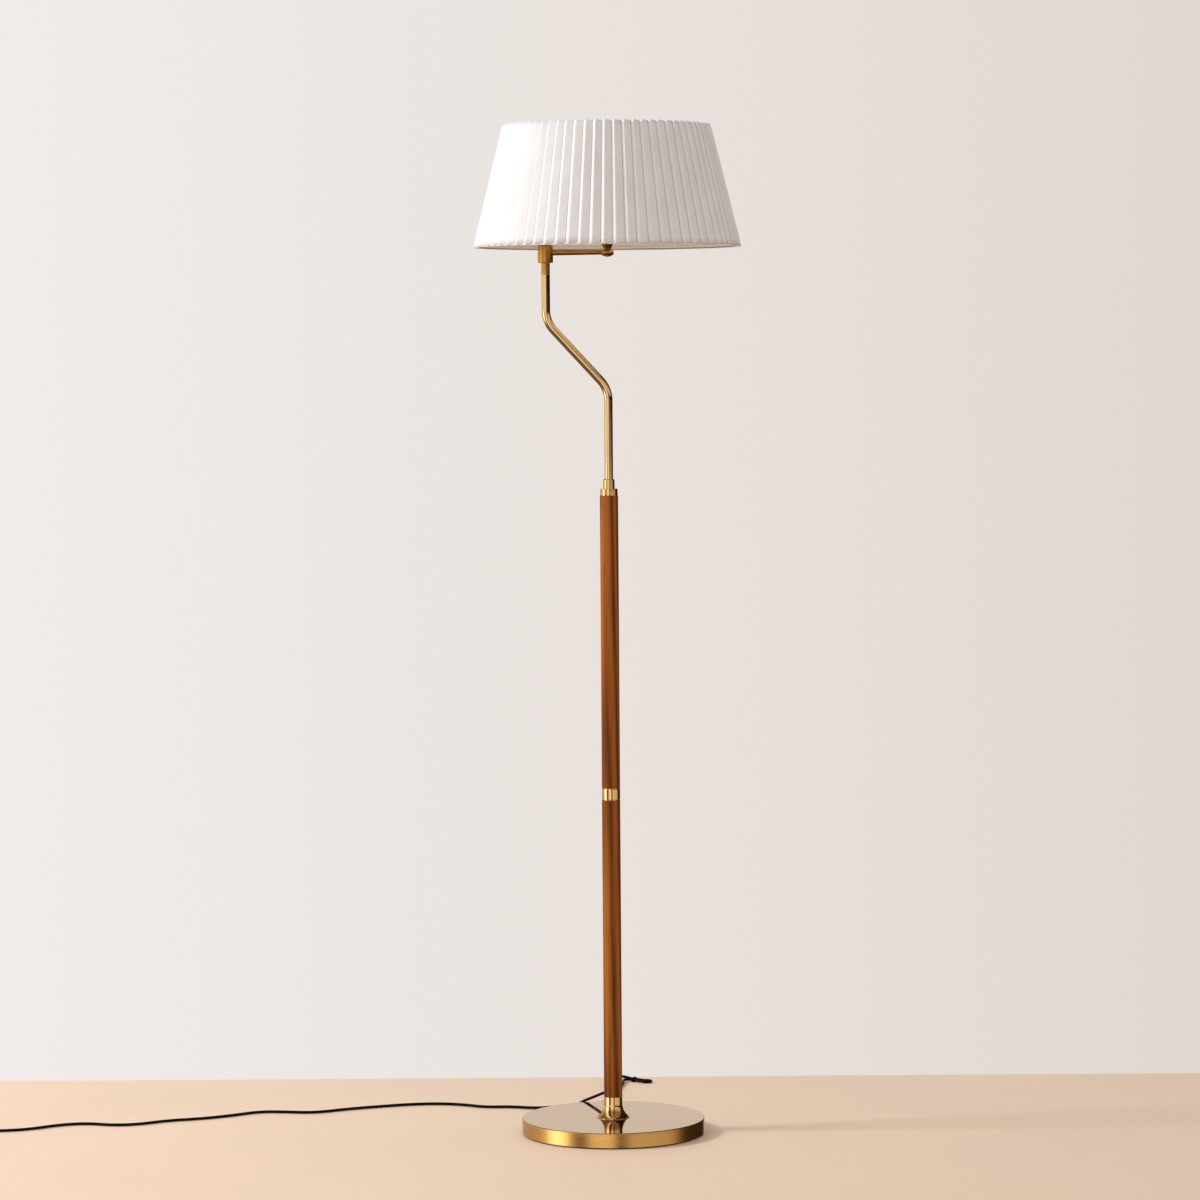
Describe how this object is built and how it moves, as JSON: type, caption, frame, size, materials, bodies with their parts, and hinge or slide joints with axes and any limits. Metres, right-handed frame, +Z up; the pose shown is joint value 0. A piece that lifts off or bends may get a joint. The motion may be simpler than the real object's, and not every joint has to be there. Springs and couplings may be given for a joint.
{
  "type": "bridge floor lamp",
  "caption": "Floor lamp: weighted disc foot, turned wooden column with metal rings, cranked tube, swinging arm, pleated fabric shade, rotary switch and loose mains cord.",
  "frame": {"origin": "centre of the disc foot on the floor, which is also the middle of the shade seen from above", "axes": "+Z up along the column, the arm runs from its pivot towards +X, -Y faces the viewer, millimetres in the source and metres here"},
  "size_m": [1.2518, 0.6685, 1.5436],
  "materials": {
    "foam": "matt black closed-cell foam",
    "cast_iron": "rough casting",
    "polished_brass": "polished and lacquered",
    "satin_brass": "satin and lacquered",
    "shell_brass": "bright pressed sheet",
    "steel": "zinc plated",
    "nickel": "nickel plated",
    "wood": "turned hardwood, satin lacquer",
    "nylon": "moulded washer",
    "black_cord": "smooth sheath",
    "black_tie": "flat tie",
    "black_plastic": "moulded",
    "ceramic": "unglazed",
    "white_paint": "white powder coat",
    "liner": "stiff white card",
    "pleated_fabric": "knife-pleated off-white cotton",
    "bulb_glass": "frosted"
  },
  "bodies": {
    "stand": {"base_pad": "foam", "base_weight": "cast_iron", "base_shell": "polished_brass", "base_washer": "steel", "base_nut": "steel", "flare_collar": "polished_brass", "tie_rod": "steel", "lower_column": "wood", "middle_ring": "polished_brass", "upper_column": "wood", "cap_ring": "polished_brass", "tube_collar": "polished_brass", "collar_screw": "steel", "bent_tube": "polished_brass", "pivot_stem": "satin_brass", "slip_washer": "nylon", "keeper_nut": "steel", "stand_lead": "black_cord", "cord_bushing": "black_plastic", "cord": "black_cord", "cord_tie": "black_tie", "cord_coil": "black_cord", "plug_body": "black_plastic", "plug_pins": "nickel"},
    "arm": {"knuckle_body": "satin_brass", "knuckle_cap": "satin_brass", "arm_tube": "satin_brass", "arm_hub": "satin_brass", "hub_screw": "satin_brass", "head_nipple": "steel", "lampholder_cup": "satin_brass", "lampholder_base": "black_plastic", "contact_block": "ceramic", "screw_shell": "shell_brass", "lampholder_sleeve": "black_plastic", "switch_barrel": "shell_brass", "clamp_ring": "black_plastic", "shade_fitter": "white_paint", "bottom_ring": "white_paint", "top_ring": "white_paint", "shade_liner": "liner", "pleated_cover": "pleated_fabric", "top_binding": "pleated_fabric", "bottom_binding": "pleated_fabric", "bulb_cap": "nickel", "bulb_glass": "bulb_glass", "arm_lead": "black_cord"},
    "switch": {"switch_knob": "black_plastic", "switch_spindle": "steel"}
  },
  "joints": [
    {"name": "arm_swing", "type": "hinge", "parent": "stand", "child": "arm", "pos_m": [-0.094, 0, 1.3495], "axis": [0, 0, 1], "range_deg": [-170, 170]},
    {"name": "switch_turn", "type": "hinge", "parent": "arm", "child": "switch", "pos_m": [0, -0.0195, 1.382], "axis": [0, -1, 0], "range_deg": [0, 90]}
  ]
}
